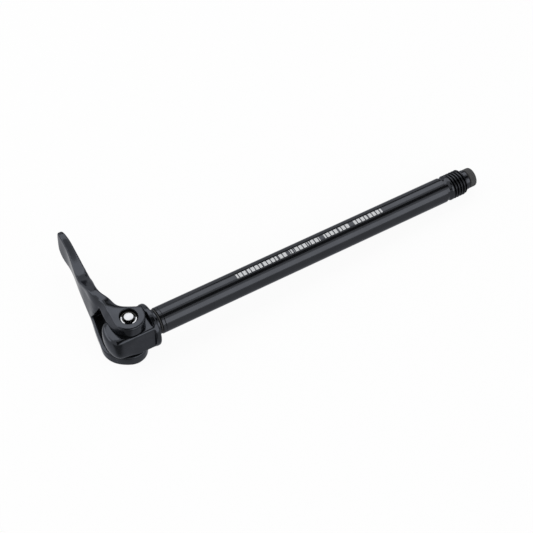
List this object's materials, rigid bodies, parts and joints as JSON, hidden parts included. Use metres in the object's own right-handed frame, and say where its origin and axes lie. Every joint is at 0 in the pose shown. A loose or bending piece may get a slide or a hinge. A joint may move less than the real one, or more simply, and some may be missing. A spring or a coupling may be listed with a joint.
{
  "type": "bicycle thru axle",
  "caption": "Black thru axle for a bicycle wheel: a round shaft with a threaded end and a clamp head whose forked cam lever draws its flange against the frame.",
  "frame": {"origin": "centre of the flange's clamping face, on the axle's axis", "axes": "+X along the axle towards its threaded tip, +Z along the cam pin towards the ear with the clip, +Y along the blade of the closed lever"},
  "size_m": [0.1914, 0.0694, 0.0256],
  "materials": {
    "axle_black": "gloss black anodised",
    "plug_resin": "matte",
    "housing_black": "satin black",
    "lever_black": "satin black",
    "pin_steel": "bright",
    "clip_steel": "bright",
    "seal_rubber": "matte",
    "bush_resin": "matte"
  },
  "bodies": {
    "axle": {"axle_shaft": "axle_black", "tip_plug": "plug_resin", "seal_ring": "seal_rubber"},
    "housing": {"clamp_housing": "housing_black", "upper_bush": "bush_resin", "lower_bush": "bush_resin"},
    "lever": {"lever": "lever_black", "cam_pin": "pin_steel", "retaining_clip": "clip_steel"}
  },
  "joints": [
    {"name": "housing_slide", "type": "slide", "parent": "axle", "child": "housing", "axis": [-1, 0, 0], "range_m": [0, 0.00121]},
    {"name": "lever_hinge", "type": "hinge", "parent": "housing", "child": "lever", "pos_m": [-0.0106, 0, 0], "axis": [0, 0, 1], "range_deg": [0, 120]}
  ],
  "couplings": [
    {"joint": "housing_slide", "follows": "lever_hinge", "m_per_rad": 0.00057296}
  ]
}
